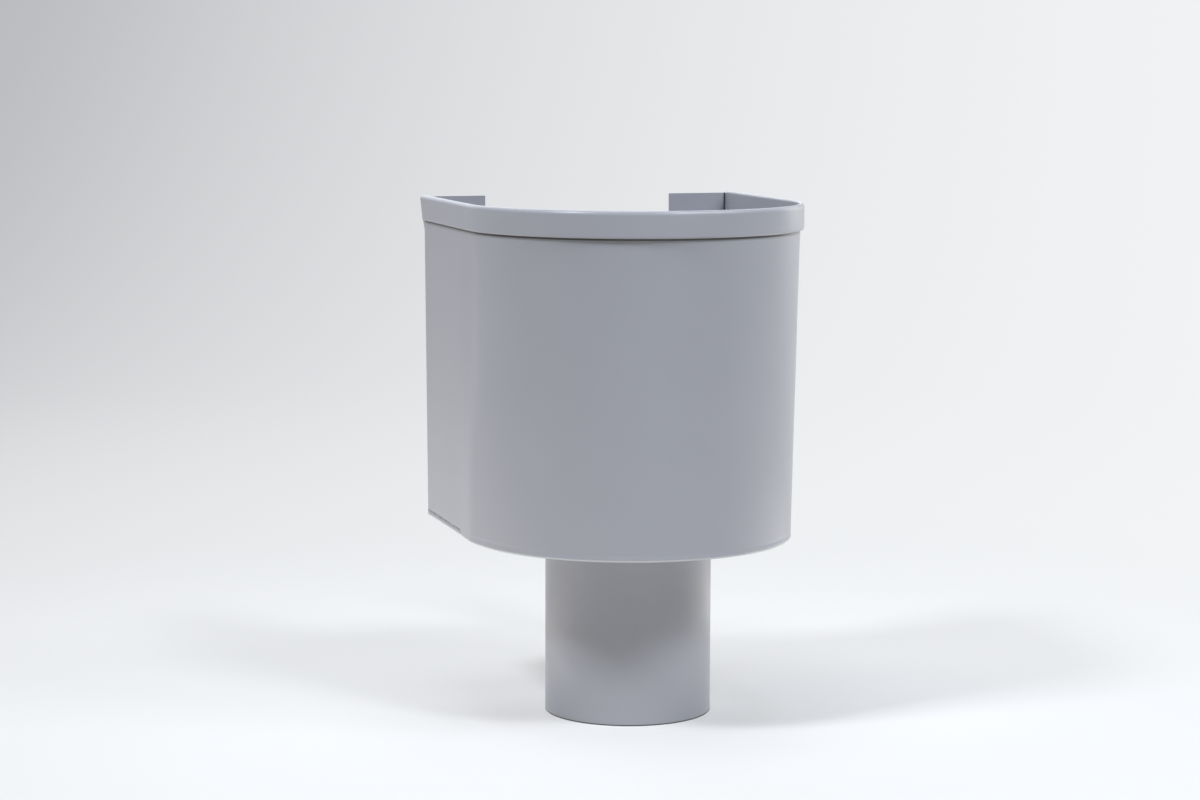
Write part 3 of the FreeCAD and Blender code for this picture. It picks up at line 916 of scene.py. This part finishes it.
# the painted shade of all these places together
painted_shade = shade_under_hem
for mask in (shade_in_slit, patchy_crease_shade.outputs["Value"], shadow_at_foot):
    painted_shade = add_node(tree, "ShaderNodeMath", {0: painted_shade, 1: mask}, operation="MAXIMUM").outputs["Value"]
# painted highlight: a band round the folded bottom edge is painted lighter
on_fold = soft_masks(((height, BOTTOM + 0.05, BOTTOM + 0.35), (height, BOTTOM + 1.3, BOTTOM + 0.9)))
painted_highlight = add_node(tree, "ShaderNodeMath", {0: on_fold}, {1: 0.6}, operation="MULTIPLY")
print("with its thin and thick places the coat has", len(tree.nodes), "nodes")

# %% Coat on the pieces
# the painted highlight is a light grey mixed into the coat's tone
tone_with_highlight = add_node(
    tree, "ShaderNodeMix", {"Factor": painted_highlight.outputs["Value"], "A": tone.outputs["Result"]},
    {"B": linear("#e2e2e2")}, data_type="RGBA")
# the painted shade is a dark brownish grey mixed in over the coat's tone
coat = add_node(
    tree, "ShaderNodeMix", {"Factor": painted_shade, "A": tone_with_highlight.outputs["Result"]},
    {"B": linear("#4c4946")}, data_type="RGBA")
shader = add_node(
    tree, "ShaderNodeBsdfPrincipled",
    {"Base Color": coat.outputs["Result"], "Roughness": satin.outputs["Result"],
     "Normal": skin.outputs["Normal"]},
    IOR=1.5)
add_node(tree, "ShaderNodeOutputMaterial", {"Surface": shader.outputs["BSDF"]})
for piece in (shell_sheet, back_sheet, base_sheet, spigot_tube):
    piece.data.materials.clear()
    piece.data.materials.append(powder_coat)
print(powder_coat.name, "has", len(tree.nodes), "nodes")

# %% [markdown]
# ## Studio
# A catalogue picture is taken on a pale paper sweep that curves up into the background. Here the sweep is
# spun into a bowl, so that there is paper behind the object from every side. Close to the object the paper
# is real: it takes light and shadow. Further out only the camera and reflections see it, as an even glow,
# and the lamps shine through it.

# %% Bowl of paper
MIDDLE_RADIUS = 150.0   # the middle of the floor is one round face
FLOOR_RADIUS = 1600.0
SWEEP_RADIUS = 1500.0
BOWL_TOP = 4000.0
bowl = bmesh.new()
tip = bowl.verts.new((MIDDLE_RADIUS, 0, 0))
tip = strokes(bowl, tip, 6, FLOOR_RADIUS - MIDDLE_RADIUS, 0, 0)
tip = bend(bowl, tip, (FLOOR_RADIUS, 0, SWEEP_RADIUS), (0, 1, 0), -90, 24)
tip = strokes(bowl, tip, 4, 0, 0, BOWL_TOP - SWEEP_RADIUS)
bmesh.ops.spin(
    bowl, geom=list(bowl.verts) + list(bowl.edges), cent=(0, 0, 0), axis=(0, 0, 1), dvec=(0, 0, 0),
    angle=math.tau, steps=96, use_merge=True, use_duplicate=False,
)
inner = [e for e in bowl.edges if e.is_boundary and all(v.co.z < 1 for v in e.verts)]
bmesh.ops.contextual_create(bowl, geom=inner)
bmesh.ops.scale(bowl, vec=(MM, MM, MM), verts=bowl.verts)
face_out(bowl, Vector((0, 0, 0.5)))
bowl_mesh = bpy.data.meshes.new("paper_sweep")
bowl.to_mesh(bowl_mesh)
bowl.free()
bowl_mesh.shade_smooth()
sweep = bpy.data.objects.new("paper_sweep", bowl_mesh)
bpy.context.scene.collection.objects.link(sweep)
print("sweep:", len(bowl_mesh.polygons), "faces")

# %% Paper
BRIGHT_SIDE = (0.9546, -0.298, 0)       # the way to the side of the studio where more light falls
paper, tree = new_material("white_paper")
place = add_node(tree, "ShaderNodeTexCoord").outputs["Object"]
spot = add_node(tree, "ShaderNodeSeparateXYZ", {"Vector": place})
to_side = add_node(
    tree, "ShaderNodeVectorMath", {0: place}, {1: BRIGHT_SIDE}, operation="DOT_PRODUCT").outputs["Value"]
floor_place = add_node(
    tree, "ShaderNodeCombineXYZ", {"X": spot.outputs["X"], "Y": spot.outputs["Y"]}).outputs["Vector"]
way_out = add_node(tree, "ShaderNodeVectorMath", {0: floor_place}, operation="LENGTH").outputs["Value"]
print("places on the paper are found with", len(tree.nodes), "nodes")

# %% [markdown]
# The light falls off towards one side of the studio: the paper gets darker there by an even share for each
# step, which is what an exponential does, and darker with the distance from the object. A smooth minimum
# lets the darkening end softly, so that no edge shows on the paper, and at the far end of the dark side the
# paper gets lighter again, so that it stays pale behind the object in a view from the other side.

# %% Falling light on the paper
FALL = -1.077           # each metre to the bright side leaves e to this power, a third, of the darkness
FALL_OUT = 1.64         # the darkness grows with the way out and this many metres
DARKNESS = 0.0896
side_fall = add_node(tree, "ShaderNodeMath", {0: to_side}, {1: FALL}, operation="MULTIPLY")
side_share = add_node(tree, "ShaderNodeMath", {0: side_fall.outputs["Value"]}, operation="EXPONENT")
growth = add_node(tree, "ShaderNodeMath", {0: way_out}, {1: FALL_OUT}, operation="ADD")
both = add_node(
    tree, "ShaderNodeMath", {0: side_share.outputs["Value"], 1: growth.outputs["Value"]},
    operation="MULTIPLY")
full_dark = add_node(
    tree, "ShaderNodeMath", {0: both.outputs["Value"]}, {1: DARKNESS}, operation="MULTIPLY")
paler_near = add_node(
    tree, "ShaderNodeMapRange", {"Value": way_out}, interpolation_type="SMOOTHSTEP",
    From_Min=0.1, From_Max=0.7, To_Min=0.6, To_Max=1.0)
eased_dark = add_node(
    tree, "ShaderNodeMath", {0: full_dark.outputs["Value"], 1: paler_near.outputs["Result"]},
    operation="MULTIPLY")
darkest = add_node(
    tree, "ShaderNodeMapRange", {"Value": to_side}, interpolation_type="SMOOTHSTEP",
    From_Min=-2.5, From_Max=-1.7, To_Min=0.5, To_Max=0.97)
dark = add_node(
    tree, "ShaderNodeMath", {0: eased_dark.outputs["Value"], 1: darkest.outputs["Result"]}, {2: 0.3},
    operation="SMOOTH_MIN").outputs["Value"]
print("the darkness on the paper is worked out with", len(tree.nodes), "nodes")

# %% Tones of the paper
paper_tone = add_node(
    tree, "ShaderNodeMix", {"Factor": dark},
    {"A": linear("#f9fbfd"), "B": linear("#b6b7ba")}, data_type="RGBA")
lit_tone = add_node(
    tree, "ShaderNodeMix", {"Factor": dark},
    {"A": linear("#f6f4f2"), "B": linear("#b4b3b1")}, data_type="RGBA")
glow = add_node(tree, "ShaderNodeEmission", {"Color": paper_tone.outputs["Result"]}, Strength=1.0)
lit = add_node(tree, "ShaderNodeBsdfDiffuse", {"Color": lit_tone.outputs["Result"]})
bounce = add_node(tree, "ShaderNodeBsdfDiffuse", Color=linear("#f6f2ea"))
clear = add_node(tree, "ShaderNodeBsdfTransparent")
print("with its tones the paper has", len(tree.nodes), "nodes")

# %% [markdown]
# The camera sees a mix of lit paper and glow: lit paper near the object, where its shadow falls, and glow
# further out, as a burnt out background looks in a photo. Other light meets plain paper near the object,
# whose bounce is a little warm, and passes freely far out.

# %% Near and far paper
SHADOW_MIDDLE = (0.057, -0.018, 0)      # the shadow on the floor lies round this place
ray = add_node(tree, "ShaderNodeLightPath")
seen = ray.outputs["Is Camera Ray"]
for other in ("Is Glossy Ray", "Is Transmission Ray"):
    seen = add_node(
        tree, "ShaderNodeMath", {0: seen, 1: ray.outputs[other]}, operation="MAXIMUM").outputs["Value"]
from_shadow = add_node(
    tree, "ShaderNodeVectorMath", {0: floor_place}, {1: SHADOW_MIDDLE}, operation="DISTANCE")
burnt = add_node(
    tree, "ShaderNodeMapRange", {"Value": from_shadow.outputs["Value"]}, interpolation_type="SMOOTHSTEP",
    From_Min=0.1, From_Max=0.22, To_Min=0.2, To_Max=0.45)
far_out = add_node(
    tree, "ShaderNodeMapRange", {"Value": way_out}, interpolation_type="SMOOTHSTEP",
    From_Min=0.25, From_Max=0.8, To_Min=0.0, To_Max=0.55)
far_seen = add_node(
    tree, "ShaderNodeMath", {0: burnt.outputs["Result"], 1: far_out.outputs["Result"]}, operation="ADD")
far_light = add_node(
    tree, "ShaderNodeMapRange", {"Value": way_out}, interpolation_type="SMOOTHSTEP",
    From_Min=0.45, From_Max=1.3, To_Min=0.0, To_Max=1.0)
shown = add_node(
    tree, "ShaderNodeMixShader",
    {"Fac": far_seen.outputs["Value"], 1: lit.outputs["BSDF"], 2: glow.outputs["Emission"]})
lights = add_node(
    tree, "ShaderNodeMixShader",
    {"Fac": far_light.outputs["Result"], 1: bounce.outputs["BSDF"], 2: clear.outputs["BSDF"]})
whole = add_node(
    tree, "ShaderNodeMixShader",
    {"Fac": seen, 1: lights.outputs["Shader"], 2: shown.outputs["Shader"]})
add_node(tree, "ShaderNodeOutputMaterial", {"Surface": whole.outputs["Shader"]})
sweep.data.materials.append(paper)
print(paper.name, "has", len(tree.nodes), "nodes")

# %% [markdown]
# ### Lamps
# Soft boxes stand high at the left and the right, so that the body throws a V-shaped edge of shadow on the
# spigot. Weaker ones hang overhead and behind and make the bright line along the rolled rim, one low at the
# right brightens that edge, and three cards on the floor throw light up onto the sides.

# %% Lamps
LAMP_DISTANCE = 2.2
LAMP_AIM = Vector((0, 0, 0.2))  # the middle of the object, in metres
DAYLIGHT = "#f2f8ff"
UPWARDS = Vector((0, 0, 1))


def area_lamp(name, place, look, size, power, colour):
    """A square soft lamp at a place, shining along a direction. Only its light is seen, not the lamp."""
    data = bpy.data.lights.new(name, "AREA")
    data.shape = "SQUARE"
    data.size = size
    data.energy = power
    data.color = linear(colour)[:3]
    item = bpy.data.objects.new(name, data)
    item.location = place
    item.rotation_euler = look.to_track_quat("-Z", "Y").to_euler()
    item.visible_camera = False
    bpy.context.scene.collection.objects.link(item)
    return item


def soft_box(name, azimuth, elevation, size, power, colour=DAYLIGHT):
    """A lamp on a stand that looks at the middle of the object. Azimuth 0 is in front, 90 at the right."""
    a, e = math.radians(azimuth), math.radians(elevation)
    back = Vector((math.sin(a) * math.cos(e), -math.cos(a) * math.cos(e), math.sin(e)))
    return area_lamp(name, LAMP_AIM + back * LAMP_DISTANCE, -back, size, power, colour)


# name, azimuth, elevation, size in metres, power in watts
soft_box("key_left", -70, 50, 0.4, 26.8)
soft_box("key_right", 25, 49, 0.4, 19.2)
soft_box("fill_right", 52, 42, 0.6, 12.7)
soft_box("overhead", 0, 89, 1.0, 10.0)
soft_box("top_left", -118, 42, 0.8, 3.8, "#fff4ea")
soft_box("behind", 180, 35, 2.2, 21.0)
soft_box("rim_right", 115, 12, 1.0, 6.0, "#fcfaf8")
area_lamp("card_left", Vector((-0.45, 0.05, 0.004)), UPWARDS, 0.4, 0.24, "#fff0da")
area_lamp("card_near", Vector((-0.24, 0.14, 0.004)), UPWARDS, 0.24, 0.15, "#fff4e8")
area_lamp("card_right", Vector((0.45, 0.05, 0.004)), UPWARDS, 0.4, 0.6, "#fffaf2")
print(len(bpy.data.lights), "lamps")
world = bpy.data.worlds.new("studio")
bpy.context.scene.world = world
world.use_nodes = True
world.node_tree.nodes["Background"].inputs["Strength"].default_value = 0.0

# %% [markdown]
# ### Camera
# The camera was found by laying the outline of the construction over the photo: the position, the turn and
# the focal length that make the corners fall together. A long lens from well away keeps the lines calm.

# %% Camera
AZIMUTH, ELEVATION, ROLL = -17.34, 6.93, 0.17
DISTANCE = 1730.43
AIM = Vector((-15.09, 9.51, 187.64))
PHOTO_WIDTH = 1200.0    # in pixels
FOCAL_PIXELS = 2873.72
SENSOR = 36.0
az, el, roll = (math.radians(d) for d in (AZIMUTH, ELEVATION, ROLL))
back_way = Vector((math.sin(az) * math.cos(el), -math.cos(az) * math.cos(el), math.sin(el)))
right_way = Vector((math.cos(az), math.sin(az), 0))
up_way = back_way.cross(right_way)
right_rolled = right_way * math.cos(roll) + up_way * math.sin(roll)
up_rolled = up_way * math.cos(roll) - right_way * math.sin(roll)
camera_data = bpy.data.cameras.new("camera")
camera_data.lens = FOCAL_PIXELS / PHOTO_WIDTH * SENSOR
camera_data.sensor_width = SENSOR
camera_data.clip_start = 0.05
camera_data.clip_end = 50.0
camera = bpy.data.objects.new("camera", camera_data)
turn = Matrix((right_rolled, up_rolled, back_way)).transposed()
camera.matrix_world = Matrix.Translation((AIM + back_way * DISTANCE) * MM) @ turn.to_4x4()
bpy.context.scene.collection.objects.link(camera)
bpy.context.scene.camera = camera
bpy.context.scene.view_settings.view_transform = "Standard"
print("camera at", [round(c, 3) for c in camera.matrix_world.translation])
